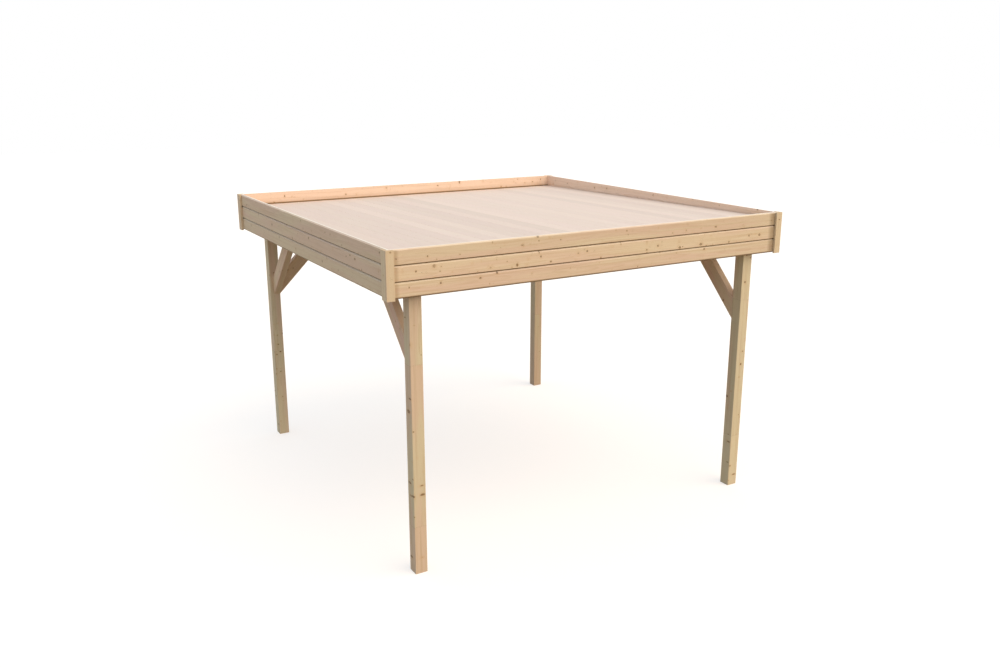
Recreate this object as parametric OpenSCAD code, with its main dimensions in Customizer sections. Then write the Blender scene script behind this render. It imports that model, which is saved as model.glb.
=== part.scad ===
// Timber barbecue shelter: four posts, a beam on three sides with knee braces,
// and a flat boarded roof that falls gently to the back inside a level fascia.
// +X is the right-hand side, -Y the open front, +Z up; the feet stand on Z = 0.

/* [Posts] */
// Side of the square posts
post_w = 90; // [76:1:120]
// Distance over the outer faces of the left and right posts
posts_over_x = 2972; // [2200:1:4000]
// Distance over the outer faces of the front and back posts
posts_over_y = 3126; // [2200:1:4000]
// Height of the beam seat at the middle of a front post
seat_h = 1970; // [1700:1:2400]
// Height of the tongue that stands beside the beam, above its seat
tongue_h = 100; // [40:1:140]
// Bevel along the long edges of posts, beams and braces
arris = 3; // [1:0.5:6]

/* [Beams and braces] */
// Thickness of the beams and braces
beam_t = 56; // [44:1:66]
// Depth of the beams
beam_h = 156; // [150:1:220]
// Fall of the roof towards the back, in degrees
fall = 1.05; // [0:0.05:2]
// Length of a brace along its post and along its beam
brace_leg = 540; // [360:5:800]
// Width of the brace timber
brace_w = 116; // [80:1:150]

/* [Roof] */
// How far the fascia boards stand out past the posts at the left and right
side_overhang = 174; // [60:1:600]
// How far the fascia boards stand out past the posts at the front and back
end_overhang = 82; // [30:1:400]
// Width of a rafter
rafter_w = 45; // [38:1:60]
// Depth of a rafter
rafter_h = 95; // [70:1:145]
// Thickness of the roof boards
deck_t = 19; // [16:1:28]
// Width that a roof board covers, rounded so that whole boards fill the roof
deck_board_w = 117; // [85:1:146]
// Depth of the V under each joint between roof boards
deck_v = 2.5; // [1:0.5:5]
// Height of the fascia above the roof boards at the front
upstand = 45; // [20:1:120]

/* [Fascia] */
// Thickness of the fascia boards
board_t = 22; // [19:1:30]
// Height that each fascia board covers
board_h = 105; // [90:1:140]
// Depth of the shadow gap between two fascia boards, down to the tongue
shadow_d = 10; // [4:0.5:10]
// Height of the shadow gap
shadow_h = 8; // [3:0.5:12]
// Height of the bevel along the top of each fascia board
bevel_h = 8; // [3:0.5:14]
// Thickness of the tongue that joins two fascia boards
tongue_t = 5; // [3:0.5:6]
// How far the tongue reaches into its groove, behind the shadow gap
tongue_l = 7; // [4:0.5:10]
// Thickness of the corner trims
trim_t = 18; // [12:1:28]
// Width of the two boards of a corner trim
trim_w = 58; // [40:1:100]
// How far the corner trims reach below the fascia
trim_drop = 4; // [0:1:30]
// Thickness of the battens between the rafter ends and the fascia
batten_t = 28; // [18:1:45]
// Distance from a batten's lower end to the fascia's lower edge
batten_rise = 10; // [0:1:40]

/* [Fits] */
// Play around a tongue in its groove
tongue_play = 0.5; // [0.2:0.1:1]
// Gap left beside the roof boards, the rim rafters and the back beam
fit_gap = 2; // [1:0.5:4]

/* [Hidden] */

// Ends and sides, used as signs.
FRONT = -1;
BACK = 1;
LEFT = -1;
RIGHT = 1;
RAFTERS = 6;
// Courses of the fascia, counted from the bottom.
BOTTOM = 0;
MIDDLE = 1;
TOP = 2;
COURSES = 3;

// Plan of the frame and of the roof, which is boxed in by the fascia boards.
post_in_x = posts_over_x / 2 - post_w;
post_in_y = posts_over_y / 2 - post_w;
post_mid_y = (posts_over_y - post_w) / 2;
tray_w = posts_over_x + 2 * side_overhang;
tray_d = posts_over_y + 2 * end_overhang;
inner_w = tray_w - 2 * board_t;
inner_d = tray_d - 2 * board_t;
deck_span = inner_w - 2 * fit_gap;
deck_boards = round(deck_span / deck_board_w);
deck_pitch = deck_span / deck_boards;

// Heights. The roof plane is the plane of the beam seats, which falls to the back.
function seat_z(y) = seat_h - (y + post_mid_y) * tan(fall);
function lift_z(y, lift) = seat_z(y) + lift / cos(fall);
rafter_lift = beam_h;
deck_lift = beam_h + rafter_h;
roof_lift = deck_lift + deck_t;
fascia_top = lift_z(-inner_d / 2, roof_lift) + upstand;
fascia_bottom = fascia_top - COURSES * board_h;
back_beam_top = lift_z(post_in_y + beam_t, beam_h) - fit_gap;
back_beam_under = back_beam_top - beam_h;

// Rafters stand square to the roof plane, so their tops lean a little to the back.
rafter_lean = (deck_lift + rafter_lift) / 2 * sin(fall);
rafter_reach = (inner_d - rafter_w / cos(fall)) / 2 - fit_gap - rafter_h * sin(fall);
function rafter_y(i) = -rafter_reach + i * 2 * rafter_reach / (RAFTERS - 1);

POST_COLOUR = [0.85, 0.73, 0.56];
BEAM_COLOUR = [0.80, 0.68, 0.49];
BRACE_COLOUR = [0.87, 0.74, 0.60];
DECK_COLOUR = [0.91, 0.84, 0.80];
FASCIA_COLOUR = [0.84, 0.71, 0.54];
TRIM_COLOUR = [0.86, 0.75, 0.55];

// Moves to the roof plane above the front post centre, with Y running down the fall.
module on_roof_plane(lift) {
    translate([0, -post_mid_y, seat_h])
        rotate([-fall, 0, 0])
            translate([0, 0, lift])
                children();
}

// Planed timber: a rectangle with its four corners bevelled, centred on the origin.
module planed_section(w, h) {
    x = w / 2;
    y = h / 2;
    polygon([
        [arris - x, -y], [x - arris, -y], [x, arris - y], [x, y - arris],
        [x - arris, y], [arris - x, y], [-x, y - arris], [-x, arris - y]
    ]);
}

// A post, lapped at the head: the inner part stops at the sloping beam seat and the
// outer part runs on as a tongue beside the beam.
module post(side, end) {
    y = end * post_mid_y;
    x = side * (posts_over_x - post_w) / 2;
    color(POST_COLOUR)
        difference() {
            translate([x, y, 0])
                linear_extrude(seat_z(y) + tongue_h)
                    planed_section(post_w, post_w);
            on_roof_plane(0)
                translate([side * (post_in_x + beam_t / 2), y + post_mid_y, tongue_h])
                    cube([beam_t, 2 * post_w, 2 * tongue_h], center = true);
        }
}

// A side beam runs the full depth inside the fascia, with both ends cut plumb.
module side_beam(side) {
    color(BEAM_COLOUR)
        intersection() {
            on_roof_plane(beam_h / 2)
                translate([side * (post_in_x + beam_t / 2), post_mid_y, 0])
                    rotate([90, 0, 0])
                        linear_extrude(tray_d, center = true)
                            planed_section(beam_t, beam_h);
            translate([0, 0, seat_h])
                cube([tray_w, inner_d, 4 * beam_h], center = true);
        }
}

// The back beam fits level between the side beams, flush with the posts' inner faces.
module back_beam() {
    color(BEAM_COLOUR)
        translate([0, post_in_y + beam_t / 2, back_beam_top - beam_h / 2])
            rotate([90, 0, 90])
                linear_extrude(2 * post_in_x, center = true)
                    planed_section(beam_t, beam_h);
}

// A knee brace at 45 degrees in the corner between a post face (X = 0) and the
// underside of a beam (Z = 0), which rises away from the post by the angle given.
module knee_brace(rise) {
    reach = 2 * brace_leg;
    middle = (brace_leg - brace_w / sqrt(2)) / 2;
    color(BRACE_COLOUR)
        intersection() {
            translate([middle, 0, -middle])
                rotate([0, 45, 0])
                    linear_extrude(reach, center = true)
                        planed_section(brace_w, beam_t);
            rotate([90, 0, 0])
                linear_extrude(beam_t, center = true)
                    polygon([[0, 0], [reach, reach * tan(rise)], [reach, -reach], [0, -reach]]);
        }
}

module side_brace(side, end) {
    y = end * post_in_y;
    translate([side * (post_in_x + beam_t / 2), y, seat_z(y)])
        rotate([0, 0, -end * 90])
            knee_brace(end * fall);
}

module back_brace(side) {
    translate([side * post_in_x, post_in_y + beam_t / 2, back_beam_under])
        rotate([0, 0, side == LEFT ? 0 : 180])
            knee_brace(0);
}

// Rafter number i, counted from the front, lies across both side beams.
module rafter(i) {
    color(BEAM_COLOUR)
        on_roof_plane(rafter_lift)
            translate([0, (rafter_y(i) + post_mid_y) / cos(fall) - rafter_w / 2, 0])
                translate([batten_t - inner_w / 2, 0, 0])
                    cube([inner_w - 2 * batten_t, rafter_w, rafter_h]);
}

// Roof boards run down the fall, edge to edge, with a small V under every joint.
module roof_boards() {
    length = inner_d - 2 * fit_gap - 2 * roof_lift * sin(fall);
    color(DECK_COLOUR)
        on_roof_plane(deck_lift + deck_t / 2)
            translate([0, post_mid_y, 0])
                rotate([90, 0, 0])
                    linear_extrude(length, center = true)
                        difference() {
                            square([deck_span, deck_t], center = true);
                            for (i = [1 : deck_boards - 1])
                                translate([i * deck_pitch - deck_span / 2, -deck_t / 2])
                                    rotate(45)
                                        square(deck_v * sqrt(2), center = true);
                        }
}

// Plumb battens between the rafter ends and the side fascia carry the boards.
module fascia_battens(side) {
    low = fascia_bottom + batten_rise;
    color(BEAM_COLOUR)
        for (i = [0 : RAFTERS - 1]) {
            y = rafter_y(i) + rafter_lean;
            high = lift_z(y + rafter_w / 2, deck_lift) - fit_gap;
            translate([side * (inner_w - batten_t) / 2, y, (low + high) / 2])
                cube([batten_t, rafter_w, high - low], center = true);
        }
}

// Section of a fascia board: X runs from its inner to its outer face. The bottom edge is
// grooved, and its outer lip stops short to leave the shadow gap; the top edge is bevelled
// and, below another board, has the tongue.
module board_section(course) {
    shoulder = board_t - shadow_d;
    groove_w = tongue_t + 2 * tongue_play;
    groove_d = shadow_h + tongue_l + tongue_play;
    difference() {
        union() {
            polygon([
                [0, 0], [shoulder, 0], [shoulder, shadow_h], [board_t, shadow_h],
                [board_t, board_h - bevel_h], [shoulder, board_h], [0, board_h]
            ]);
            if (course != TOP)
                translate([shoulder - tongue_t, board_h - 1])
                    square([tongue_t, shadow_h + tongue_l + 1]);
        }
        translate([shoulder - tongue_t - tongue_play, -1])
            square([groove_w, groove_d + 1]);
    }
}

// A fascia board of the given length that faces -Y, with its inner face on Y = 0.
module fascia_board(course, length) {
    color(FASCIA_COLOUR)
        translate([0, 0, fascia_bottom + course * board_h])
            rotate([90, 0, -90])
                linear_extrude(length, center = true)
                    board_section(course);
}

// Front and back boards run past the ends of the side boards.
module end_fascia(end, course) {
    rotate([0, 0, end == FRONT ? 0 : 180])
        translate([0, -inner_d / 2, 0])
            fascia_board(course, tray_w);
}

module side_fascia(side, course) {
    rotate([0, 0, side == RIGHT ? 90 : -90])
        translate([0, -inner_w / 2, 0])
            fascia_board(course, inner_d);
}

// An L-shaped trim covers each corner of the fascia. It is glued from two boards: the one
// on the front or back covers the edge of the one on the side.
module corner_trim(side, end) {
    x = tray_w / 2 + trim_t;
    y = tray_d / 2 + trim_t;
    color(TRIM_COLOUR)
        translate([0, 0, fascia_bottom - trim_drop])
            linear_extrude(fascia_top - fascia_bottom + trim_drop)
                scale([side, end]) {
                    translate([x - trim_w, y - trim_t])
                        square([trim_w, trim_t]);
                    translate([x - trim_t, y - trim_t - trim_w])
                        square([trim_t, trim_w + trim_t]);
                }
}

post(LEFT, FRONT);  // front_left_post
post(RIGHT, FRONT);  // front_right_post
post(LEFT, BACK);  // back_left_post
post(RIGHT, BACK);  // back_right_post
side_beam(LEFT);  // left_beam
side_beam(RIGHT);  // right_beam
back_beam();
side_brace(LEFT, FRONT);  // left_front_brace
side_brace(LEFT, BACK);  // left_back_brace
side_brace(RIGHT, FRONT);  // right_front_brace
side_brace(RIGHT, BACK);  // right_back_brace
back_brace(LEFT);  // back_left_brace
back_brace(RIGHT);  // back_right_brace
rafter(0);  // rafter_1
rafter(1);  // rafter_2
rafter(2);  // rafter_3
rafter(3);  // rafter_4
rafter(4);  // rafter_5
rafter(5);  // rafter_6
roof_boards();
fascia_battens(LEFT);  // left_fascia_battens
fascia_battens(RIGHT);  // right_fascia_battens
end_fascia(FRONT, TOP);  // front_fascia_top
end_fascia(FRONT, MIDDLE);  // front_fascia_middle
end_fascia(FRONT, BOTTOM);  // front_fascia_bottom
end_fascia(BACK, TOP);  // back_fascia_top
end_fascia(BACK, MIDDLE);  // back_fascia_middle
end_fascia(BACK, BOTTOM);  // back_fascia_bottom
side_fascia(LEFT, TOP);  // left_fascia_top
side_fascia(LEFT, MIDDLE);  // left_fascia_middle
side_fascia(LEFT, BOTTOM);  // left_fascia_bottom
side_fascia(RIGHT, TOP);  // right_fascia_top
side_fascia(RIGHT, MIDDLE);  // right_fascia_middle
side_fascia(RIGHT, BOTTOM);  // right_fascia_bottom
corner_trim(LEFT, FRONT);  // front_left_corner_trim
corner_trim(RIGHT, FRONT);  // front_right_corner_trim
corner_trim(LEFT, BACK);  // back_left_corner_trim
corner_trim(RIGHT, BACK);  // back_right_corner_trim
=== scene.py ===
# %% [markdown]
# # A timber barbecue shelter
# Four square posts carry a beam on three sides, knee braces stiffen the corners, and a flat
# boarded roof falls gently to the back inside a deep fascia. The sizes come from a CAD model,
# so the first step loads it as a frame and keeps its box. The CAD pieces arrive selected,
# and an operator acts on all that is selected, so everything is deselected at once.

# %% Load the frame
import contextlib
import math
import random

import bmesh
import bpy
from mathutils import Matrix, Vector


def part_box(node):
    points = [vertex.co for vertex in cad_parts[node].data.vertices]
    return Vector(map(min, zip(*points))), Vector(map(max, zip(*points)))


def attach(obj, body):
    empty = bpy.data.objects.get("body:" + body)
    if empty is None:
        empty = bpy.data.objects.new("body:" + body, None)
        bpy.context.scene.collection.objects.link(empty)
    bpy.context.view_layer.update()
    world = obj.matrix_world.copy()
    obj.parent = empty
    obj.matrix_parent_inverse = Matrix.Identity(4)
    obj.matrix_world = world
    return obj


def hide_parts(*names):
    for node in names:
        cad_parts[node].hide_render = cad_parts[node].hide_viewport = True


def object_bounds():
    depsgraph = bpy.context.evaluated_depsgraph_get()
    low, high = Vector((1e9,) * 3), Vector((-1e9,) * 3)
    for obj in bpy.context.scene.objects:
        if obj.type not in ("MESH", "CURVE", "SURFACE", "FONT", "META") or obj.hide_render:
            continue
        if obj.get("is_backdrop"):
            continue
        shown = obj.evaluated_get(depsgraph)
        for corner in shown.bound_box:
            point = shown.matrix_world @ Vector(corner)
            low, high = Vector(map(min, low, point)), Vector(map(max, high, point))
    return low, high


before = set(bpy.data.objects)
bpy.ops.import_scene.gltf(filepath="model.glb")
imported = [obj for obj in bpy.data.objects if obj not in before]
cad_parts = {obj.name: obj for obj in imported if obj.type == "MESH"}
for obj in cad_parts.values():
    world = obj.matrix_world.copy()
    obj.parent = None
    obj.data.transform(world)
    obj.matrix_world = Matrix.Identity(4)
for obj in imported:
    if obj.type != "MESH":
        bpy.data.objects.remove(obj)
cad_low, cad_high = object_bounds()
bpy.ops.object.select_all(action="DESELECT")
print("CAD box", [round(side, 3) for side in cad_high - cad_low])

# %% [markdown]
# ## The slope and the timber sizes
# The roof falls to the back by about one degree, and the first and last rafters show by how
# much. A rafter stands square to the slope, so its upright box is a little larger than the
# timber: two equations with the sine and cosine of the fall give back its real section.

# %% Read the slope and the timber sizes
first_low, first_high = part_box("rafter_1")
last_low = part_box("rafter_6")[0]
back_beam_low, back_beam_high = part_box("back_beam")
slope = (first_low.z - last_low.z) / (last_low.y - first_low.y)
fall = math.atan(slope)


def unslope(deep, high):
    """The depth and height of a rectangle that leans by the fall, from those of its upright box."""
    cosine, sine = math.cos(fall), math.sin(fall)
    spread = cosine * cosine - sine * sine
    return (deep * cosine - high * sine) / spread, (high * cosine - deep * sine) / spread


rafter_wide, rafter_high = unslope(first_high.y - first_low.y, first_high.z - first_low.z)
beam_thick = back_beam_high.y - back_beam_low.y
beam_deep = back_beam_high.z - back_beam_low.z
beam_top_start = Vector((0, first_low.y + rafter_wide * math.cos(fall), first_low.z))


def beam_top(y):
    """Height of the beams' upper face, which carries the rafters."""
    return beam_top_start.z - (y - beam_top_start.y) * slope


def seat(y):
    """Height of the side beams' underside, which is also the seat on the posts."""
    return beam_top(y) - beam_deep / math.cos(fall)


print("fall", round(math.degrees(fall), 2), "degrees")
print("beam", round(beam_thick, 3), "x", round(beam_deep, 3))
print("rafter", round(rafter_wide, 3), "x", round(rafter_high, 3))

# %% [markdown]
# ## The camera
# The viewer stands off the front left corner and looks down a little, so the front, the left
# side and the upper side of the roof boards show. A camera is easiest to place backwards: choose
# the point to look at, the direction, and the distance, and step back from the point.

# %% Place the camera
CAMERA_TURN = math.radians(30.3)
CAMERA_TILT = math.radians(15.4)
CAMERA_DISTANCE = 8.0
CAMERA_LENS = 33.5
LOOK_PAST_MIDDLE = Vector((0.01, -0.15, 0.03))

forward = Vector((
    math.sin(CAMERA_TURN) * math.cos(CAMERA_TILT),
    math.cos(CAMERA_TURN) * math.cos(CAMERA_TILT),
    -math.sin(CAMERA_TILT),
))
look_at = (cad_low + cad_high) / 2 + LOOK_PAST_MIDDLE
bpy.ops.object.camera_add(location=look_at - forward * CAMERA_DISTANCE)
camera = bpy.context.active_object
camera.name = "viewer"
camera.rotation_euler = forward.to_track_quat("-Z", "Y").to_euler()
camera.data.lens = CAMERA_LENS
bpy.context.scene.camera = camera
print("camera at", [round(value, 2) for value in camera.location])

# %% [markdown]
# ## A small language for materials
# A material is a graph of nodes. Written link by link it is long and hard to follow, so this
# class wraps one output socket: a sum or product of two wires adds the Math node by itself,
# and every other kind of node comes from the one method called node.


# %% Wrap a socket, so that sums add nodes
class Wire:
    """A value on its way through a node tree."""

    def __init__(self, tree, socket=None):
        self.tree = tree
        self.socket = socket

    def node(self, kind, settings=None, inputs=None, output=0):
        """Adds a node of any kind, with its settings first and then its inputs' values or links."""
        added = self.tree.nodes.new(kind)
        for name, value in (settings or {}).items():
            if name == "stops":
                ramp = added.color_ramp.elements
                while len(ramp) < len(value):
                    ramp.new(0.5)
                for element, (place, shade) in zip(ramp, value):
                    element.position = place
                    element.color = (shade, shade, shade, 1)
            else:
                setattr(added, name, value)
        for key, value in (inputs or {}).items():
            if isinstance(value, Wire):
                self.tree.links.new(value.socket, added.inputs[key])
            else:
                added.inputs[key].default_value = value
        return Wire(self.tree, added.outputs[output]) if added.outputs else None

    def outlet(self, key):
        """Another output of the same node."""
        return Wire(self.tree, self.socket.node.outputs[key])

    def math(self, operation, *values):
        """Adds a Math node for one operation on these values."""
        return self.node("ShaderNodeMath", {"operation": operation}, dict(enumerate(values)))

    def __add__(self, other):
        return self.math("ADD", self, other)

    def __radd__(self, other):
        return self.math("ADD", other, self)

    def __sub__(self, other):
        return self.math("SUBTRACT", self, other)

    def __rsub__(self, other):
        return self.math("SUBTRACT", other, self)

    def __mul__(self, other):
        return self.math("MULTIPLY", self, other)

    def __rmul__(self, other):
        return self.math("MULTIPLY", other, self)

    def __truediv__(self, other):
        return self.math("DIVIDE", self, other)


def empty_material(name):
    """A material with no nodes yet, and a wire to add them with."""
    material = bpy.data.materials.new(name)
    material.use_nodes = True
    material.node_tree.nodes.clear()
    return material, Wire(material.node_tree)


def parts_of(vector):
    """The three numbers of a vector."""
    split = vector.node("ShaderNodeSeparateXYZ", {}, {0: vector})
    return split, split.outlet(1), split.outlet(2)


def vector_of(x, y, z):
    """The vector of three numbers."""
    return x.node("ShaderNodeCombineXYZ", {}, {0: x, 1: y, 2: z})


def rise(value, start, end):
    """0 below the start, 1 above the end, and a soft step between."""
    inputs = {"Value": value, "From Min": start, "From Max": end}
    return value.node("ShaderNodeMapRange", {"interpolation_type": "SMOOTHSTEP"}, inputs)


def bell(value, width):
    """1 where the value is 0, fading to nothing a few widths away."""
    return value.math("EXPONENT", value * value * (-1 / width ** 2))


def cloud(place, detail=2.0):
    """Soft noise between 0 and 1."""
    return place.node("ShaderNodeTexNoise", {}, {"Vector": place, "Scale": 1.0, "Detail": detail})


def cloud_along(value, detail=1.0):
    """Soft noise that changes along one number only."""
    settings = {"noise_dimensions": "1D"}
    return value.node("ShaderNodeTexNoise", settings, {"W": value, "Scale": 1.0, "Detail": detail})


def mix_colours(amount, base, other):
    """A little or a lot of the other colour over the base."""
    inputs = {"Factor": amount, "A": base, "B": other}
    return amount.node("ShaderNodeMix", {"data_type": "RGBA"}, inputs, output="Result")


SCREEN_CURVE = 2.2


def paint(red, green, blue):
    """The light that Blender counts, for a colour from 0 to 255 as a paint program gives it."""
    return tuple((value / 255) ** SCREEN_CURVE for value in (red, green, blue)) + (1.0,)


print("material helpers ready")

# %% [markdown]
# ## Spruce: the place in the tree
# Planed spruce is pale, with faint growth rings, fine fibres, broad streaks and small brown knots.
# Painting each face would not match at the corners, so the wood is made as a solid, as a tree
# grows: every point of a timber knows where it lay in the trunk, with x up the trunk and y and z
# measured from the pith. Posts and beams are glued up from shorter lengths with zigzag finger
# joints, past which the wood comes from elsewhere in the trunk. The pith itself wanders slowly, so
# the rings run out of a face in long arches.

# %% Find the place in the tree
FINGER_WIDTH = 0.0042
FINGER_LENGTH = 0.010
GLUE_EDGES = (0.0004, 0.0013)
BATCH_STEP = 7.3
JUMP_UP, JUMP_ACROSS, JUMP_DEEP = 9.0, 0.11, 0.03
PITH_BENDS = 0.9
PITH_SWAY = 0.024


def glue_up(place, tone, block):
    """Takes the wood past each finger joint from elsewhere in the trunk."""
    x, y, z = place
    zigzag = y.math("PINGPONG", y, FINGER_WIDTH / 2) * (2 * FINGER_LENGTH / FINGER_WIDTH)
    block_place = (x + zigzag) / block
    block_number = block_place.math("FLOOR", block_place)
    past_joint = (block_place - block_number) * block
    to_joint = past_joint.math("MINIMUM", past_joint, block - past_joint)
    glue_line = 1 - rise(to_joint, *GLUE_EDGES)
    seed = {"W": block_number + tone * BATCH_STEP}
    chance = x.node("ShaderNodeTexWhiteNoise", {"noise_dimensions": "1D"}, seed, "Color")
    jump_x, jump_y, jump_z = parts_of(chance)
    x = x + jump_x * JUMP_UP
    y = y + jump_y * JUMP_ACROSS - JUMP_ACROSS / 2
    z = z + jump_z * JUMP_DEEP
    return (x, y, z), glue_line, jump_y


def bend_pith(place):
    """Lets the pith wander slowly up the trunk."""
    x, y, z = place
    sway_y, sway_z, _ = parts_of(cloud_along(x * PITH_BENDS).outlet("Color"))
    y = y + sway_y * PITH_SWAY - PITH_SWAY / 2
    z = z + sway_z * PITH_SWAY - PITH_SWAY / 2
    return x, y, z


print("finger joints", FINGER_LENGTH, "long, and the pith wanders by", PITH_SWAY)

# %% [markdown]
# ## Spruce: fibres and streaks
# Fibres, flecks, thin lines and streaks are all the same soft noise, drawn out along the trunk.
# What differs is how often it changes in a metre, along the trunk and across it, and how much fine
# detail it has. The ragged edge of a knot is such a noise too, as long as it is wide.

# %% Draw the noise out along the trunk
FIBRE = (9, 700, 1.0)
FLECK = (34, 420, 0.0)
THIN_LINE = (2.6, 240, 0.0)
STREAK = (1.3, 55, 3.0)
PATCH = (1.1, 11, 1.0)
RAGGED = (140, 140, 2.0)


def drawn_out(place, kind):
    """Soft noise of one of these kinds, between 0 and 1."""
    along, across, detail = kind
    x, y, z = place
    return cloud(vector_of(x * along, y * across, z * across), detail)


print("fibres change", FIBRE[1], "times in a metre across the trunk, and streaks", STREAK[1], "times")

# %% [markdown]
# ## Spruce: knots and rings
# Knots are branches that run out from the pith. The trunk is divided into cells, up, round and out
# from the pith, and each cell may hold a piece of a branch. It is long on its way out, so a knot is
# round on a face and a dash on an edge. The rings are the distance from the pith, cut into years,
# some wide and some narrow. They bend round each knot, and rings and knots meet at every edge and
# on the sawn ends.

# %% Grow the knots and the rings
KNOT_EVERY = 0.10
KNOT_TURN = 1.1
KNOT_DEEP = 0.055
KNOT_OUT = 0.3
KNOT_OVAL = (0.35, 1.5)
KNOT_RAGGED = 0.0048
SMALL_KNOT = 0.0024
LARGER_KNOT = 0.0052
CORE_EDGES = (0.75, 1.15)
RIM_WIDE = 0.28
HALO_WIDE = 2.4

RING = 0.0034
RING_BENDS = 0.8
YEARS_CHANGE = 55
YEARS_DIFFER = 0.005
ONE_YEAR = [(0, 0.0), (0.45, 0.1), (0.82, 0.75), (0.93, 1.0), (1, 0.0)]


def grow_knots(place, from_pith, how_many):
    """Each knot's core, rim of bark and halo of bent wood, its size and how dead its branch was."""
    x, y, z = place
    knot_x = x / KNOT_EVERY
    knot_turn = y.math("ARCTAN2", y, z) / KNOT_TURN
    knot_out = from_pith / KNOT_DEEP
    in_branches = {"Vector": vector_of(knot_x, knot_turn, knot_out), "Scale": 1.0, "Randomness": 1.0}
    cells = x.node("ShaderNodeTexVoronoi", {"voronoi_dimensions": "3D"}, in_branches, "Position")
    branch_x, branch_turn, branch_out = parts_of(cells)
    size_chance, there_chance, dead = parts_of(cells.outlet("Color"))
    along_gap = (knot_x - branch_x) * KNOT_EVERY
    round_gap = (knot_turn - branch_turn) * KNOT_TURN * from_pith
    out_gap = (knot_out - branch_out) * (KNOT_DEEP * KNOT_OUT)
    squash = KNOT_OVAL[0] + KNOT_OVAL[1] * dead.math("FRACT", dead * 7.0)
    gap_square = along_gap * along_gap * squash + round_gap * round_gap + out_gap * out_gap
    to_knot = x.math("SQRT", gap_square) + (drawn_out(place, RAGGED) - 0.5) * KNOT_RAGGED
    size = SMALL_KNOT + LARGER_KNOT * size_chance * size_chance
    reach = to_knot / size
    there = there_chance.math("LESS_THAN", there_chance, how_many)
    core = (1 - rise(reach, *CORE_EDGES)) * there
    rim = bell(reach - 1.0, RIM_WIDE) * there
    halo = bell(reach, HALO_WIDE) * there
    return core, rim, halo, size, dead


def grow_rings(from_pith, halo, knot_size):
    """The late wood, which is dark: 1 at the end of a year, and 0 when the next one starts."""
    grown = from_pith + halo * knot_size * RING_BENDS
    grown = grown + cloud_along(from_pith * YEARS_CHANGE) * YEARS_DIFFER
    ring_place = grown / RING
    ring = ring_place.math("FRACT", ring_place)
    return ring.node("ShaderNodeValToRGB", {"stops": ONE_YEAR}, {0: ring})


print("a ring is", RING, "wide, and the largest knot", round(2 * (SMALL_KNOT + LARGER_KNOT), 4))

# %% [markdown]
# ## Spruce: the finish
# The colour is laid on in layers over the pale wood, from the warm patches to the brown of the
# knots. Painted bounce light makes the inner faces of the fascia rosier, a painted sheen makes
# upward faces paler, and painted shade darkens the narrow gaps and strips along seams. Last, the
# relief of the rings and fibres goes into a bump, and the late wood and the knots are a little
# glossier, because they are denser.

# %% Put the spruce together
# Painted bounce light: a rosier colour laid on the inner faces of the fascia boards.
PAINTED_BOUNCE_ROSE = paint(243, 209, 180)
LATE_FLECK = paint(176, 132, 88)
KNOT_HALO = paint(206, 160, 106)
KNOT_BROWN = paint(136, 96, 48)
KNOT_BARK = paint(82, 52, 30)
GLUE_LINE = paint(150, 116, 78)
END_GRAIN = paint(184, 152, 108)
# Painted shade: this dark brown is laid into the gaps, by the first amount, and along strips where
# parts meet, by the second.
SHADE_BROWN = paint(118, 86, 44)
SHADE_IN_GAP = 0.95
SHADE_IN_STRIP = 0.75
# Painted sheen: upward faces turn paler, from none where the normal's height is the first number to
# all at the second.
SHEEN_FACING_UP = (0.7, 0.98)
TIMBERS_DIFFER = 0.05
FIBRES_DIFFER = 0.16
PLANED_ROUGHNESS = 0.62


def stored(start, name, output="Fac"):
    """What a mesh stores under a name, or 0 where it stores nothing."""
    return start.node("ShaderNodeAttribute", {"attribute_name": name}, output=output)


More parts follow.
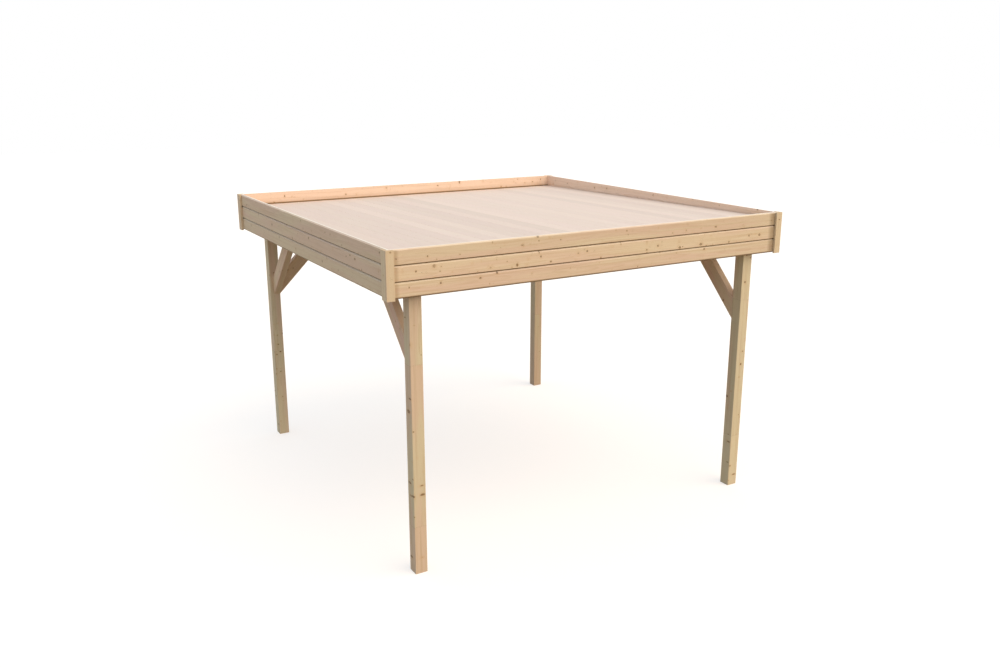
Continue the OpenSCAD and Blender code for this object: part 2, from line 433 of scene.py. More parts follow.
def spruce(name, pale, rosy, late, knots=0.7, top_sheen=0.0, top_sheen_colour=None):
    """Solid wood that reads where each point lay in the trunk from the mesh's own attributes."""
    material, start = empty_material(name)
    trunk = parts_of(stored(start, "trunk", "Vector"))
    tone, warmth, block = parts_of(stored(start, "timber", "Vector"))
    end_cut = stored(start, "end_cut")
    place, glue_line, jump = glue_up(trunk, tone, block)
    place = bend_pith(place)
    x, y, z = place
    from_pith = x.math("SQRT", y * y + z * z)
    core, rim, halo, knot_size, dead = grow_knots(place, from_pith, knots)
    late_wood = grow_rings(from_pith, halo, knot_size)
    fibre = drawn_out(place, FIBRE)
    fleck = rise(drawn_out(place, FLECK), 0.72, 0.86)
    thin_line = rise(drawn_out(place, THIN_LINE), 0.74, 0.84)
    streak = rise(drawn_out(place, STREAK), 0.44, 0.78)
    patch = drawn_out(place, PATCH)

    # Each layer says how much of its colour covers the wood below it.
    layers = [
        (rise(patch + warmth * 0.12, 0.38, 0.64), rosy),
        # Painted bounce light: the inner faces of the fascia turn rosier.
        (stored(start, "heart_side") * 0.85, PAINTED_BOUNCE_ROSE),
        (late_wood * (0.34 + 0.4 * end_cut), late),
        (streak * 0.42, late),
        (fleck * 0.30 + thin_line * 0.35, LATE_FLECK),
        (halo * 0.45, KNOT_HALO),
        (core * (0.62 + 0.38 * dead), KNOT_BROWN),
        (rim * (0.35 + 0.5 * dead), KNOT_BARK),
        (glue_line * 0.5, GLUE_LINE),
        (end_cut * 0.4, END_GRAIN),
    ]
    # Painted sheen: faces that look up turn paler.
    if top_sheen:
        _, _, upward = parts_of(start.node("ShaderNodeTexCoord", output="Normal"))
        layers.append((rise(upward, *SHEEN_FACING_UP) * top_sheen, top_sheen_colour))
    # Painted shade: the gaps and the strips along seams, lips and trims turn dark brown.
    painted_shade = stored(start, "in_gap") * SHADE_IN_GAP + stored(start, "stain") * SHADE_IN_STRIP
    layers.append((painted_shade, SHADE_BROWN))
    colour = pale
    for amount, shade in layers:
        colour = mix_colours(amount, colour, shade)
    value = 1 + tone * TIMBERS_DIFFER + (jump - 0.5) * TIMBERS_DIFFER + (fibre - 0.5) * FIBRES_DIFFER
    shade = {"Saturation": 1.0, "Value": value, "Color": colour}
    colour = value.node("ShaderNodeHueSaturation", {}, shade)

    rough = PLANED_ROUGHNESS + (fibre - 0.5) * 0.2 - late_wood * 0.07 - core * 0.12
    height = late_wood * 0.3 + fibre * 0.35 + core * 0.5 - rim * 0.3 - glue_line * 0.4
    bump = {"Strength": 0.35, "Distance": 0.0012, "Height": height}
    relief = height.node("ShaderNodeBump", {}, bump, "Normal")
    wood = colour.node("ShaderNodeBsdfPrincipled", {}, {
        "Base Color": colour, "Roughness": rough, "Normal": relief, "Specular IOR Level": 0.3})
    wood.node("ShaderNodeOutputMaterial", {}, {"Surface": wood})
    return material


print("dust covers", SHADE_IN_GAP, "of the wood in a gap, and", SHADE_IN_STRIP, "of it in a stain")

# %% [markdown]
# ## Spruce: one finish for each kind of timber
# The posts, beams, braces, roof boards, fascia and trims are the same spruce, but not quite the same
# colour: each has its pale, its rosy and its late wood. Boards are picked with fewer knots for the
# roof and the trims, and the upper sides of the roof boards and of the fascia get a painted sheen.

# %% Mix the finishes
WOODS = {
    "post_timber": {
        "pale": paint(218, 196, 154), "rosy": paint(220, 187, 152), "late": paint(190, 154, 112)},
    "beam_timber": {
        "pale": paint(222, 191, 145), "rosy": paint(220, 181, 142), "late": paint(192, 151, 102)},
    "brace_timber": {
        "pale": paint(228, 197, 156), "rosy": paint(230, 187, 156), "late": paint(200, 157, 114)},
    # The roof boards and the fascia get a painted sheen on their upward faces: how strong, and its
    # colour.
    "roof_board_timber": {
        "pale": paint(228, 201, 160), "rosy": paint(228, 192, 160), "late": paint(200, 162, 120),
        "knots": 0.45, "top_sheen": 0.78, "top_sheen_colour": paint(224, 203, 185)},
    "fascia_timber": {
        "pale": paint(226, 198, 157), "rosy": paint(225, 189, 155), "late": paint(197, 156, 112),
        "knots": 0.85, "top_sheen": 0.8, "top_sheen_colour": paint(250, 238, 216)},
    "trim_timber": {
        "pale": paint(226, 198, 156), "rosy": paint(225, 189, 153), "late": paint(196, 156, 112),
        "knots": 0.5},
}
FINISH = {slot: spruce(slot, **wood) for slot, wood in WOODS.items()}
print("spruce finishes:", ", ".join(FINISH))

# %% [markdown]
# ## Tools of the workshop
# Each timber is shaped in edit mode as on a bench: sawn along a plane, marked with a line,
# or pushed out from a face. These helpers open a piece for editing, pick its faces or edges by
# where they are, and saw it, so that the later cells read like a joiner's notes.


# %% Helpers for shaping a piece
def take_up(piece):
    """Selects one piece and nothing else, and makes it the active one."""
    bpy.ops.object.select_all(action="DESELECT")
    piece.select_set(True)
    bpy.context.view_layer.objects.active = piece


@contextlib.contextmanager
def editing(piece):
    """Opens one piece in edit mode with all of it selected, and closes it again."""
    take_up(piece)
    bpy.ops.object.mode_set(mode="EDIT")
    bpy.ops.mesh.select_all(action="SELECT")
    yield
    bpy.ops.object.mode_set(mode="OBJECT")


def pick(piece, kind, wanted):
    """Selects each FACE or EDGE, as kind says, for which wanted is true, and nothing else."""
    bpy.ops.mesh.select_mode(type=kind)
    bpy.ops.mesh.select_all(action="DESELECT")
    shape = bmesh.from_edit_mesh(piece.data)
    for part in shape.faces if kind == "FACE" else shape.edges:
        part.select_set(bool(wanted(part)))
    bmesh.update_edit_mesh(piece.data)


def edge_middle(edge):
    """The point half way along an edge."""
    return (edge.verts[0].co + edge.verts[1].co) / 2


def saw_off(point, away):
    """Saws all that is open along a plane, and throws off the side that away points to."""
    across = Vector(away).normalized()
    bpy.ops.mesh.select_all(action="SELECT")
    bpy.ops.mesh.bisect(plane_co=point, plane_no=across, use_fill=True, clear_outer=True)


def mark_line(point, across):
    """Marks a line round all that is open, where a plane through the point meets it."""
    bpy.ops.mesh.select_all(action="SELECT")
    bpy.ops.mesh.bisect(plane_co=point, plane_no=across)


def push_out(move):
    """Pushes what is selected out by a distance, with new faces along its sides."""
    bpy.ops.mesh.extrude_region_move(TRANSFORM_OT_translate={"value": move})


print("shaping helpers ready")

# %% [markdown]
# ## Blocks, sections and copies
# A timber starts as a block of its size, or as a flat section that is pushed out later. A finished
# piece keeps its place in its mesh, so every move and turn is applied at once. What repeats is
# modelled once and copied, and each copy gets a mesh of its own.


# %% Helpers for starting, copying and joining pieces
def apply_place(piece):
    """Puts a piece's place, turn and size into its mesh."""
    take_up(piece)
    bpy.ops.object.transform_apply(location=True, rotation=True, scale=True)


def start_block(name, low, high, turn=(0, 0, 0)):
    """Adds a cube as large as the box from low to high, turned about its middle."""
    low, high = Vector(low), Vector(high)
    bpy.ops.object.select_all(action="DESELECT")
    bpy.ops.mesh.primitive_cube_add(size=1, location=(low + high) / 2, rotation=turn, scale=high - low)
    block = bpy.context.active_object
    block.name = block.data.name = name
    apply_place(block)
    return block


def draw_section(name, wide, high, turn):
    """Adds a flat rectangle with one corner at the origin, which becomes a board's section."""
    bpy.ops.object.select_all(action="DESELECT")
    bpy.ops.mesh.primitive_plane_add(size=1, location=(0, 0, 0))
    section = bpy.context.active_object
    section.name = section.data.name = name
    section.scale = (wide, high, 1)
    section.location = (wide / 2, high / 2, 0)
    apply_place(section)
    section.rotation_euler = turn
    apply_place(section)
    return section


def copy_piece(piece, name, shift=(0, 0, 0), turn=0.0):
    """A copy with its own mesh, turned about the upright axis through the origin and then moved."""
    take_up(piece)
    bpy.ops.object.duplicate(linked=False)
    copy = bpy.context.active_object
    copy.name = copy.data.name = name
    copy.rotation_euler = (0, 0, turn)
    copy.location = shift
    apply_place(copy)
    return copy


def join_pieces(pieces, name):
    """Joins pieces into one mesh."""
    take_up(pieces[0])
    for piece in pieces[1:]:
        piece.select_set(True)
    bpy.ops.object.join()
    pieces[0].name = pieces[0].data.name = name
    return pieces[0]


print("block, section, copy and join are ready")

# %% [markdown]
# ## Rounded edges
# A planed timber has softly rounded edges, and its sawn ends are sharper. A bevel that reads each
# edge's own weight can round both at once: the long edges get the whole radius and the others a
# part of it. Lines that the sawing left in flat faces would break up the rounding, so they are
# dissolved first.

# %% Round the edges
SHARP = math.radians(25)
NEARLY_FLAT = math.radians(0.2)
ALONG_ENOUGH = 0.98
ROUNDING_STEPS = 2
ARRIS = 0.003
SAWN_EDGE = 0.0008


def ease_edges(piece, along, radius, end_radius):
    """Rounds the outward edges, the long ones as the planer does and the sawn ends by less."""
    along = Vector(along).normalized()

    def is_sharp(edge):
        return edge.is_convex and edge.calc_face_angle(0) > SHARP

    def is_long(edge):
        direction = (edge.verts[1].co - edge.verts[0].co).normalized()
        return is_sharp(edge) and abs(direction.dot(along)) > ALONG_ENOUGH

    with editing(piece):
        bpy.ops.mesh.dissolve_limited(angle_limit=NEARLY_FLAT)
        pick(piece, "EDGE", is_sharp)
        bpy.ops.transform.edge_bevelweight(value=end_radius / radius)
        pick(piece, "EDGE", is_long)
        bpy.ops.transform.edge_bevelweight(value=1)
    rounding = piece.modifiers.new("rounding", "BEVEL")
    rounding.limit_method = "WEIGHT"
    rounding.width = radius
    rounding.segments = ROUNDING_STEPS
    bpy.ops.object.modifier_apply(modifier=rounding.name)


print("long edges rounded by", ARRIS, "and sawn ends by", SAWN_EDGE)

# %% [markdown]
# ## Where each timber grew
# The spruce reads attributes from a mesh. "trunk" is each point's place in the tree, with x up the
# trunk and y and z measured from the pith. "timber" is the same all over one timber: how pale it
# is, how rosy, and how long its glued lengths are. "end_cut" is 1 on a sawn end. An attribute
# follows a leaning brace as well as an upright post, which plain coordinates don't. The fascia
# boards get three more later, and a piece without an attribute reads it as 0.

# %% Store the grain on a mesh
ONE_LENGTH = 100.0
ENDWAYS = 0.5
UP_THE_TRUNK = (5, 85)
BESIDE_THE_PITH = (-0.03, 0.03)
PITH_DEPTH_VARIES = (0.8, 1.3)
UP = Vector((0, 0, 1))
RIGHT = Vector((1, 0, 0))
BACK = Vector((0, 1, 0))
DOWN_FALL = Vector((0, math.cos(fall), -math.sin(fall)))
OFF_ROOF = Vector((0, math.sin(fall), math.cos(fall)))


def lay_grain(piece, along, through, pith_depth, block=ONE_LENGTH):
    """Stores each point's place in the tree, the timber's batch and its sawn ends."""
    chance = random.Random(piece.name)
    side = chance.choice((-1, 1))
    along = Vector(along).normalized()
    through = Vector(through).normalized() * side
    across = through.cross(along)
    points = [vertex.co.copy() for vertex in piece.data.vertices]
    middle = sum(points, Vector()) / len(points)
    start = Vector((
        chance.uniform(*UP_THE_TRUNK),
        chance.uniform(*BESIDE_THE_PITH),
        chance.uniform(*PITH_DEPTH_VARIES),
    ))
    start.z *= pith_depth

    mesh = piece.data
    trunk = mesh.attributes.new("trunk", "FLOAT_VECTOR", "POINT")
    timber = mesh.attributes.new("timber", "FLOAT_VECTOR", "POINT")
    batch = Vector((chance.uniform(-1, 1), chance.uniform(-1, 1), block))
    for number, point in enumerate(points):
        offset = point - middle
        place = Vector((offset.dot(along), offset.dot(across), offset.dot(through)))
        trunk.data[number].vector = start + place
        timber.data[number].vector = batch
    end_cut = mesh.attributes.new("end_cut", "FLOAT", "FACE")
    for face in mesh.polygons:
        end_cut.data[face.index].value = float(abs(face.normal.dot(along)) > ENDWAYS)


def finish_piece(piece, slot, *nodes):
    """Gives a piece its finish, says which body carries it, and hides the CAD nodes it stands for."""
    piece.data.materials.clear()
    piece.data.materials.append(FINISH[slot])
    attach(piece, "root")
    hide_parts(*nodes)
    print(piece.name, [round(side, 3) for side in piece.dimensions], len(piece.data.polygons), "faces")


print("down the fall is", [round(part, 4) for part in DOWN_FALL])

# %% [markdown]
# ## Posts
# A post is 90 mm square. Its head is lapped: the inner part stops at a seat that slopes with the
# roof, and the outer part runs on as a tongue beside the beam. A boolean could cut the notch,
# but extruding is cleaner: saw the block off at the seat, mark the line of the lap across
# the top, push the outer strip up, and flatten its top.


# %% Make the posts
FACES_THAT_WAY = 0.9
QUARTER_TURN = math.pi / 2


def make_post(side, end):
    """A post with its tongue on the outer side, as tall as the frame says."""
    node = f"{end}_{side}_post"
    low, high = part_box(node)
    middle_y = (low.y + high.y) / 2
    lap_x = high.x - beam_thick if side == "left" else low.x + beam_thick
    seat_middle = Vector((lap_x, middle_y, seat(middle_y)))
    post = start_block(node + "_timber", low, high)
    with editing(post):
        saw_off(seat_middle, OFF_ROOF)
        mark_line(seat_middle, RIGHT)

        def is_tongue(face):
            past_lap = face.calc_center_median().x - lap_x
            outer = past_lap < 0 if side == "left" else past_lap > 0
            return outer and face.normal.z > FACES_THAT_WAY

        pick(post, "FACE", is_tongue)
        push_out((0, 0, high.z - seat_middle.z))
        bpy.ops.transform.resize(value=(1, 1, 0), center_override=(lap_x, middle_y, high.z))
    ease_edges(post, UP, ARRIS, SAWN_EDGE)
    lay_grain(post, UP, BACK, pith_depth=0.06, block=1.15)
    finish_piece(post, "post_timber", node)


for end_name in ("front", "back"):
    for side_name in ("left", "right"):
        make_post(side_name, end_name)

# %% [markdown]
# ## Beams
# The side beams lie in the posts' seats and follow the fall, but their ends are cut plumb, so
# that the fascia stands upright against them. The block is started longer than needed and
# leaning, and then sawn off at both ends. The back beam is level, between the side beams.


# %% Make the beams
def make_side_beam(side):
    """A side beam, which leans by the fall and has plumb ends."""
    node = f"{side}_beam"
    low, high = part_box(node)
    middle = Vector(((low.x + high.x) / 2, (low.y + high.y) / 2, 0))
    middle.z = beam_top(middle.y) - beam_deep / 2 / math.cos(fall)
    half = Vector((beam_thick / 2, (high.y - low.y) / 2 + beam_deep, beam_deep / 2))
    beam = start_block(node + "_timber", middle - half, middle + half, turn=(-fall, 0, 0))
    with editing(beam):
        saw_off(low, -BACK)
        saw_off(high, BACK)
    ease_edges(beam, DOWN_FALL, ARRIS, SAWN_EDGE)
    lay_grain(beam, DOWN_FALL, RIGHT, pith_depth=0.045, block=1.35)
    finish_piece(beam, "beam_timber", node)


make_side_beam("left")
make_side_beam("right")
back_beam = start_block("back_beam_timber", back_beam_low, back_beam_high)
ease_edges(back_beam, RIGHT, ARRIS, SAWN_EDGE)
lay_grain(back_beam, RIGHT, BACK, pith_depth=0.045, block=1.35)
finish_piece(back_beam, "beam_timber", "back_beam")

# %% [markdown]
# ## Knee braces
# Each brace leans at 45 degrees between a post and the underside of a beam, and is cut to fit
# both: plumb at the post, and along the beam at the top, which for the side beams means along
# the fall. A leaning block through the corner, sawn along those two planes, gives that at once.

# %% Make the knee braces
BRACE_WIDE = 0.116


def make_brace(node, corner, away, beam_normal):
    """A brace that leans away from a post, cut to the post's face and to a beam's underside."""
    low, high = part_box(node)
    leg = corner.z - low.z
    inset = (leg - BRACE_WIDE / math.sqrt(2)) / 2
    middle = corner + (away - UP) * inset
    long_way = (away + UP).normalized()
    half = Vector((leg, beam_thick / 2, BRACE_WIDE / 2))
    turn = (0, -QUARTER_TURN / 2, math.atan2(away.y, away.x))
    brace = start_block(node + "_timber", middle - half, middle + half, turn)
    with editing(brace):
        saw_off(corner, -away)
        saw_off(corner, beam_normal)
    ease_edges(brace, long_way, ARRIS, SAWN_EDGE)
    lay_grain(brace, long_way, away.cross(UP), pith_depth=0.05)
    finish_piece(brace, "brace_timber", node)


for side_name in ("left", "right"):
    beam_low, beam_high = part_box(f"{side_name}_beam")
    for end_name, away in (("front", BACK), ("back", -BACK)):
        post_low, post_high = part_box(f"{end_name}_{side_name}_post")
        face_y = post_high.y if end_name == "front" else post_low.y
        corner = Vector(((beam_low.x + beam_high.x) / 2, face_y, seat(face_y)))
        make_brace(f"{side_name}_{end_name}_brace", corner, away, OFF_ROOF)

for side_name, away in (("left", RIGHT), ("right", -RIGHT)):
    post_low, post_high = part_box(f"back_{side_name}_post")
    face_x = post_high.x if side_name == "left" else post_low.x
    corner = Vector((face_x, (back_beam_low.y + back_beam_high.y) / 2, back_beam_low.z))
    make_brace(f"back_{side_name}_brace", corner, away, UP)

# %% [markdown]
# ## Rafters
# Six rafters lie across the side beams, square to the fall. One is modelled and the others
# are copies moved down the slope, each with its own mesh so that each can have its own grain.

# %% Make the rafters
RAFTERS = 6
RAFTER_ARRIS = 0.0025

first_middle = (first_low + first_high) / 2
half = Vector((first_high.x - first_low.x, rafter_wide, rafter_high)) / 2
first_rafter = start_block(
    "rafter_1_timber", first_middle - half, first_middle + half, turn=(-fall, 0, 0))
ease_edges(first_rafter, RIGHT, RAFTER_ARRIS, SAWN_EDGE)
rafters = [first_rafter]
for number in range(2, RAFTERS + 1):
    low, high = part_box(f"rafter_{number}")
    down = (low + high) / 2 - first_middle
    rafters.append(copy_piece(first_rafter, f"rafter_{number}_timber", down))
for number, rafter in enumerate(rafters, start=1):
    lay_grain(rafter, RIGHT, DOWN_FALL, pith_depth=0.04)
    finish_piece(rafter, "beam_timber", f"rafter_{number}")

# %% [markdown]
# ## Roof boards
# The roof is boarded from front to back with tongue-and-groove boards that show a V under each
# joint and a hairline on top. A board is like toothpaste: its section is drawn once, flat,
# with the tongue, the groove and the chamfers, and then pushed out to its length. The copies lie
# side by side, and the last one loses its tongue.

# %% Shape the section of a roof board
BOARD_COVER = 0.117
HAIRLINE = 0.0008
UNDER_V = 0.0025
ROOF_TONGUE = 0.006
ROOF_TONGUE_THICK = 0.006
TONGUE_PLAY = 0.0005
TOUCHING = 0.0001

deck_low, deck_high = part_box("roof_boards")
deck_long, deck_thick = unslope(deck_high.y - deck_low.y, deck_high.z - deck_low.z)
deck_wide = deck_high.x - deck_low.x
boards_in_roof = round(deck_wide / BOARD_COVER)
cover = deck_wide / boards_in_roof
face_wide = cover - HAIRLINE
tongue_low = (deck_thick - ROOF_TONGUE_THICK) / 2
tongue_high = (deck_thick + ROOF_TONGUE_THICK) / 2


def shape_roof_section(section):
    """Cuts the section, which stands in the plane Y = 0, its lower left corner at the origin."""
    with editing(section):
        saw_off((UNDER_V, 0, 0), (-1, 0, -1))
        saw_off((face_wide - UNDER_V, 0, 0), (1, 0, -1))
        for height in (tongue_low - TONGUE_PLAY, tongue_low, tongue_high, tongue_high + TONGUE_PLAY):
            mark_line((0, 0, height), UP)
        mark_line((ROOF_TONGUE + TONGUE_PLAY, 0, 0), RIGHT)

        def is_groove(face):
            middle = face.calc_center_median()
            beside = tongue_low - TONGUE_PLAY < middle.z < tongue_high + TONGUE_PLAY
            return beside and middle.x < ROOF_TONGUE + TONGUE_PLAY

        def is_tongue_root(edge):
            middle = edge_middle(edge)
            return middle.x > face_wide - TOUCHING and tongue_low < middle.z < tongue_high

        pick(section, "FACE", is_groove)
        bpy.ops.mesh.delete(type="FACE")
        pick(section, "EDGE", is_tongue_root)
        push_out((ROOF_TONGUE, 0, 0))


print(boards_in_roof, "boards that cover", round(cover, 4), "each")

# %% [markdown]
# ## From the section to the roof
# The boards are made level round the middle of the roof, and leaned by the fall as the last step,
# because a level section is simpler to cut. They are joined into one piece, but each keeps its own
# grain, which is stored before they are joined.

# %% Make the roof boards
BOARD_ARRIS = 0.0007
BOARD_END = 0.0005


def push_to_length(section, move):
    """Turns a flat section into a solid board, with all its faces turned outwards."""
    with editing(section):
        push_out(move)
        bpy.ops.mesh.select_all(action="SELECT")
        bpy.ops.mesh.normals_make_consistent(inside=False)


first_board = draw_section("roof_board_1", face_wide, deck_thick, turn=(QUARTER_TURN, 0, 0))
shape_roof_section(first_board)
push_to_length(first_board, (0, deck_long, 0))
ease_edges(first_board, BACK, BOARD_ARRIS, BOARD_END)
first_board.location = (-deck_wide / 2 + HAIRLINE / 2, -deck_long / 2, -deck_thick / 2)
apply_place(first_board)
roof_boards = [first_board]
for number in range(1, boards_in_roof):
    roof_boards.append(copy_piece(first_board, f"roof_board_{number + 1}", (number * cover, 0, 0)))
with editing(roof_boards[-1]):
    saw_off((deck_wide / 2 - HAIRLINE, 0, 0), RIGHT)
for board in roof_boards:
    lay_grain(board, BACK, UP, pith_depth=0.06)
roof = join_pieces(roof_boards, "roof_boards_timber")
roof.rotation_euler = (-fall, 0, 0)
roof.location = (deck_low + deck_high) / 2
apply_place(roof)
finish_piece(roof, "roof_board_timber", "roof_boards")

# %% [markdown]
# ## Battens behind the fascia
# A short upright batten at each rafter end carries the side fascia. Their tops stop just under
# the roof boards, so each batten is a little shorter than the one in front of it.

# %% Make the battens
BATTEN_ARRIS = 0.0015

for side_name in ("left", "right"):
    node = f"{side_name}_fascia_battens"
    low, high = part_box(node)
    battens = []
    for number in range(1, RAFTERS + 1):
        rafter_low, rafter_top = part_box(f"rafter_{number}")
        middle_y = (rafter_low.y + rafter_top.y) / 2
        top = high.z - (middle_y - first_middle.y) * slope
        batten = start_block(
            f"{node}_{number}", (low.x, middle_y - rafter_wide / 2, low.z),
            (high.x, middle_y + rafter_wide / 2, top))
        ease_edges(batten, UP, BATTEN_ARRIS, SAWN_EDGE)
        lay_grain(batten, UP, RIGHT, pith_depth=0.04)
        battens.append(batten)
    finish_piece(join_pieces(battens, node + "_timber"), "beam_timber", node)

# %% [markdown]
# ## Section of the fascia boards
# Three courses of boards box in the roof. Each board's outer lip stops short at the bottom, so the
# tongue of the board below lies back in a dark gap, and the bevel along the top of each board
# catches the light. The section is drawn flat again, with the outer face to the front.

# %% Shape the section of a fascia board
SHADOW_DEEP = 0.010
SHADOW_HIGH = 0.008
BEVEL_HIGH = 0.008
TONGUE_THICK = 0.005
TONGUE_LONG = 0.007

top_low, top_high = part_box("front_fascia_top")
board_thick = top_high.y - top_low.y
course_high = top_high.z - top_low.z
tongue_back = SHADOW_DEEP + TONGUE_THICK
groove_back = tongue_back + TONGUE_PLAY
groove_high = SHADOW_HIGH + TONGUE_LONG + TONGUE_PLAY


def shape_fascia_section(section, course):
    """Cuts the section, where Y runs from the outer face at 0 to the inner face, and Z is up."""
    groove_front = SHADOW_DEEP - TONGUE_PLAY

    def is_cut_away(face):
        middle = face.calc_center_median()
        in_gap = middle.y < SHADOW_DEEP and middle.z < SHADOW_HIGH
        in_groove = groove_front < middle.y < groove_back and middle.z < groove_high
        return in_gap or in_groove

    def is_tongue_root(edge):
        middle = edge_middle(edge)
        return SHADOW_DEEP < middle.y < tongue_back and middle.z > course_high - TOUCHING

    with editing(section):
        saw_off((0, SHADOW_DEEP, course_high), (0, -BEVEL_HIGH, SHADOW_DEEP))
        for depth in (groove_front, SHADOW_DEEP, tongue_back, groove_back):
            mark_line((0, depth, 0), BACK)
        for height in (SHADOW_HIGH, groove_high):
            mark_line((0, 0, height), UP)
        pick(section, "FACE", is_cut_away)
        bpy.ops.mesh.delete(type="FACE")
        if course != "top":
            pick(section, "EDGE", is_tongue_root)
            push_out((0, 0, SHADOW_HIGH + TONGUE_LONG))


print("a fascia board is", round(course_high, 4), "high and", round(board_thick, 4), "thick")

# %% [markdown]
# ## Painted shade and painted bounce light
# Attributes on the mesh tell the spruce where to change. Two are stored on faces: which of them
# lie in the gap, where painted shade goes, and which is the inner face, where painted bounce light
# makes the wood rosier. The third is stored on points and fades: a strip of painted shade on the
# inner faces along the top of the roof boards, which is darkest at the back, where a fainter one
# reaches higher, another along the lip of the bottom boards, and another beside the trims.

# %% Mark the faces and the painted shade
FASCIA_ARRIS = 0.001
SLACK = 0.0005
# Strips of painted shade: along the top of the roof boards on the inner faces, darkest at the back,
# with a fainter, higher one on the back wall, along the lip of the bottom boards, and beside the
# trims, wider and darker on the right.
ROOF_SEAM_SHADE_HIGH = 0.008
ROOF_SEAM_SHADE = {"front": 0.15, "left": 0.15, "right": 0.15, "back": 1.25}
BACK_WALL_SHADE_HIGH = 0.025
BACK_WALL_SHADE = 0.22
LIP_SHADE_HIGH = 0.004
LIP_SHADE = 1.0
SHADE_BESIDE_TRIM = ((-1, 0.020, 0.42), (1, 0.034, 0.62))
trim_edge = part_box("front_right_corner_trim")[0].x
roof_top = (deck_low + deck_high) / 2 + OFF_ROOF * (deck_thick / 2)


def mark_faces(board):
    """Marks the faces in the gap and the groove, which get painted shade, and the inner face, which
    gets painted bounce light.
    """
    in_gap = board.data.attributes.new("in_gap", "FLOAT", "FACE")
    heart_side = board.data.attributes.new("heart_side", "FLOAT", "FACE")
    for face in board.data.polygons:
        depth, height = face.center.y, face.center.z
        at_groove = height < groove_high + SLACK
        at_tongue = height > course_high + SLACK
        behind_face = FASCIA_ARRIS < depth < groove_back + SLACK
        is_inner = face.normal.y > FACES_THAT_WAY and depth > board_thick - FASCIA_ARRIS
        in_gap.data[face.index].value = float(behind_face and (at_groove or at_tongue))
        heart_side.data[face.index].value = float(is_inner)


def paint_shade_strip(board, face, line, across, high, darkness):
    """Marks a strip of painted shade along a line on one face, full as far off as high and gone at
    twice that.
    """
    axis, place = face
    with editing(board):
        for step in (-2, -1, 1, 2):
            mark_line(line + across * (step * high), across)
    kept = board.data.attributes
    stain = kept.get("stain") or kept.new("stain", "FLOAT", "POINT")
    for vertex in board.data.vertices:
        off_line = abs((vertex.co - line).dot(across))
        fade = min(1.0, max(0.0, 2 - off_line / high))
        on_face = abs(vertex.co[axis] - place) < FASCIA_ARRIS + SLACK
        spot = stain.data[vertex.index]
        spot.value = max(spot.value, darkness * fade * float(on_face))


def paint_shade_on(board, wall, course, foot, outer, inner):
    """Paints shade on a board beside the trims, and along its lower lip or where the roof meets it."""
    if wall in ("front", "back"):
        for side, wide, darkness in SHADE_BESIDE_TRIM:
            paint_shade_strip(board, outer, RIGHT * (side * trim_edge), RIGHT, wide, darkness)
    if course == "bottom":
        paint_shade_strip(board, outer, UP * (foot + SHADOW_HIGH), UP, LIP_SHADE_HIGH, LIP_SHADE)
    else:
        paint_shade_strip(board, inner, roof_top, OFF_ROOF, ROOF_SEAM_SHADE_HIGH, ROOF_SEAM_SHADE[wall])
        if wall == "back":
            paint_shade_strip(board, inner, roof_top, OFF_ROOF, BACK_WALL_SHADE_HIGH, BACK_WALL_SHADE)


print("a trim begins", round(trim_edge, 4), "from the middle")

# %% [markdown]
# ## Fascia boards
# A board of each course is made once for the front and the back and once for the sides. It faces
# the front, and a copy is turned by quarters to the wall it belongs to. The top course has no
# tongue. The grain is laid before the painted shade, and the points that the shade's lines add
# take their grain from their neighbours.

# %% Make the fascia boards
COURSES = ("bottom", "middle", "top")
QUARTERS = {"front": 0, "right": 1, "back": 2, "left": 3}
FASCIA_END = 0.0005


def fascia_master(course, length):
    """A board that faces the front, with the middle of its inner face's foot at the origin."""
    turn = (QUARTER_TURN, 0, QUARTER_TURN)
    board = draw_section(f"fascia_master_{course}", board_thick, course_high, turn=turn)
    shape_fascia_section(board, course)
    push_to_length(board, (length, 0, 0))
    ease_edges(board, RIGHT, FASCIA_ARRIS, FASCIA_END)
    mark_faces(board)
    board.location = (-length / 2, -board_thick, 0)
    apply_place(board)
    return board


for walls, along, through in ((("front", "back"), 0, 1), (("left", "right"), 1, 0)):
    for course in COURSES:
        low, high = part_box(f"{walls[0]}_fascia_{course}")
        master = fascia_master(course, high[along] - low[along])
        for wall in walls:
            node = f"{wall}_fascia_{course}"
            low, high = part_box(node)
            outer, inner = (low, high) if wall in ("front", "left") else (high, low)
            place = Vector((0, 0, low.z))
            place[through] = inner[through]
            board = copy_piece(master, node + "_timber", place, QUARTERS[wall] * QUARTER_TURN)
            lay_grain(board, (RIGHT, BACK)[along], (RIGHT, BACK)[through], pith_depth=0.055)
            outer_face, inner_face = (through, outer[through]), (through, inner[through])
            # Painted shade beside the trims, along the lip, and along the top of the roof boards.
            paint_shade_on(board, wall, course, low.z, outer_face, inner_face)
            finish_piece(board, "fascia_timber", node)
        bpy.data.objects.remove(master)

# %% [markdown]
# ## Corner trims
# Two boards make the L-shaped trim on each corner of the fascia: one on the front or the back,
# and one on the side, whose edge the first one covers. All eight are copies of one board.

# %% Make the corner trims
TRIM_ARRIS = 0.002

trim_low, trim_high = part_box("front_left_corner_trim")
trim_wide = trim_high.x - trim_low.x
trim_thick = trim_high.y - trim_low.y - trim_wide
trim_half = Vector((trim_wide, trim_thick, trim_high.z - trim_low.z)) / 2

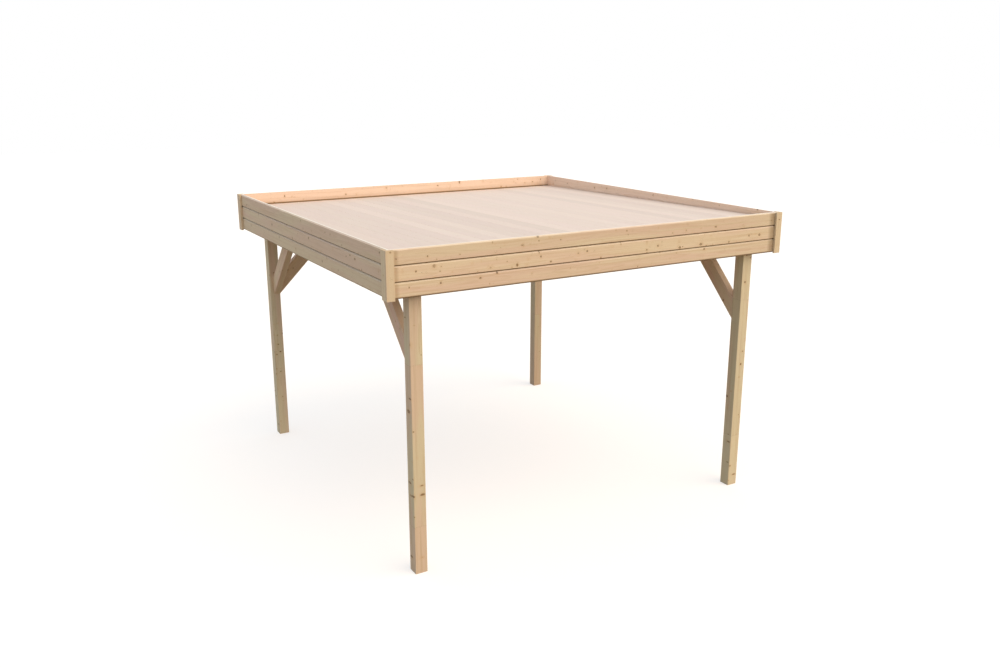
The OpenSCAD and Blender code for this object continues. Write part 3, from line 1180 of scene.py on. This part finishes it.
trim_board = start_block("trim_board", -trim_half, trim_half)
ease_edges(trim_board, UP, TRIM_ARRIS, SAWN_EDGE)
for end_name, end in (("front", -1), ("back", 1)):
    for side_name, side in (("left", -1), ("right", 1)):
        node = f"{end_name}_{side_name}_corner_trim"
        low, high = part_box(node)
        middle = (low + high) / 2
        cover_place = middle + Vector((0, end * trim_wide / 2, 0))
        edge_off = Vector((side * (trim_wide - trim_thick) / 2, -end * trim_thick / 2, 0))
        cover = copy_piece(trim_board, node + "_cover", cover_place)
        lay_grain(cover, UP, BACK, pith_depth=0.045)
        edge_board = copy_piece(trim_board, node + "_edge", middle + edge_off, QUARTER_TURN)
        lay_grain(edge_board, UP, RIGHT, pith_depth=0.045)
        finish_piece(join_pieces([cover, edge_board], node + "_timber"), "trim_timber", node)
bpy.data.objects.remove(trim_board)

# %% [markdown]
# ## Sky
# The camera sees a white backdrop, so that the timber stands out, while the wood is lit by a soft,
# slightly cool sky. Light Path tells rays to the eye from rays that light the wood, and a Mix
# Shader gives each kind its own background.

# %% Make the sky
SKY = (0.70, 0.84, 1.07, 1.0)
SKY_LIGHT = 0.93
WHITE = (1, 1, 1, 1)


def seen_directly(start):
    """1 for rays from the camera, from a gloss or through glass, and 0 for light on the wood."""
    path = start.node("ShaderNodeLightPath", output="Is Camera Ray")
    seen = path.math("MAXIMUM", path, path.outlet("Is Glossy Ray"))
    return seen.math("MAXIMUM", seen, path.outlet("Is Transmission Ray"))


world = bpy.data.worlds.new("white_room")
bpy.context.scene.world = world
world.use_nodes = True
world.node_tree.nodes.clear()
air = Wire(world.node_tree)
sky = air.node("ShaderNodeBackground", {}, {"Color": SKY, "Strength": SKY_LIGHT})
backdrop = air.node("ShaderNodeBackground", {}, {"Color": WHITE, "Strength": 1.0})
room = air.node("ShaderNodeMixShader", {}, {0: seen_directly(air), 1: sky, 2: backdrop})
room.node("ShaderNodeOutputWorld", {}, {"Surface": room})
print("sky of strength", SKY_LIGHT, "behind a white backdrop")

# %% [markdown]
# ## Floor and lamp
# The floor is matt and rather dark to the wood, so little light comes up from it, but pale and
# glowing to the eye. One warm lamp at the front right makes the front glow and leaves the left side
# cooler. The lamp is a sun made very wide, which softens the edge of every shadow.

# %% Make the floor and the lamp
FLOOR_WIDE = 80
UNDER_FEET = 0.001
FLOOR_TO_WOOD = (0.24, 0.20, 0.13, 1)
FLOOR_TO_EYE = (0.55, 0.47, 0.38, 1)
FLOOR_GLOW = 0.6
LAMP_FROM = Vector((0.7, -1.0, 0.95))
LAMP_OFF = 6
LAMP_LIGHT = 2.22
LAMP_COLOUR = (1.0, 0.84, 0.64)
LAMP_SPREAD = math.radians(70)

bpy.ops.object.select_all(action="DESELECT")
bpy.ops.mesh.primitive_plane_add(size=1, location=(0, 0, -UNDER_FEET))
floor = bpy.context.active_object
floor.name = "floor"
floor.scale = (FLOOR_WIDE, FLOOR_WIDE, 1)
apply_place(floor)
pale_floor, start = empty_material("pale_floor")
matt = start.node("ShaderNodeBsdfDiffuse", {}, {"Color": FLOOR_TO_WOOD})
bright = start.node("ShaderNodeBsdfDiffuse", {}, {"Color": FLOOR_TO_EYE})
glow = start.node("ShaderNodeEmission", {}, {"Color": WHITE, "Strength": FLOOR_GLOW})
shown = start.node("ShaderNodeAddShader", {}, {0: bright, 1: glow})
surface = start.node("ShaderNodeMixShader", {}, {0: seen_directly(start), 1: matt, 2: shown})
start.node("ShaderNodeOutputMaterial", {}, {"Surface": surface})
floor.data.materials.append(pale_floor)
floor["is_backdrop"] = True

bpy.ops.object.light_add(type="SUN", location=LAMP_FROM * LAMP_OFF)
lamp = bpy.context.active_object
lamp.name = "wide_lamp"
lamp.rotation_euler = LAMP_FROM.to_track_quat("Z", "Y").to_euler()
lamp.data.energy = LAMP_LIGHT
lamp.data.color = LAMP_COLOUR
lamp.data.angle = LAMP_SPREAD
print("floor", FLOOR_WIDE, "wide, and a lamp of strength", LAMP_LIGHT)

# %% [markdown]
# ## The size
# The dressed shelter's box is printed here, and the CAD model's box was printed at the start.
# The dressed shelter has to stay inside the CAD model's box, so both boxes are written down.

# %% Write the sizes and finish
low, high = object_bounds()
print("scene box", [round(side, 3) for side in high - low])
bpy.context.scene.view_settings.view_transform = "Standard"
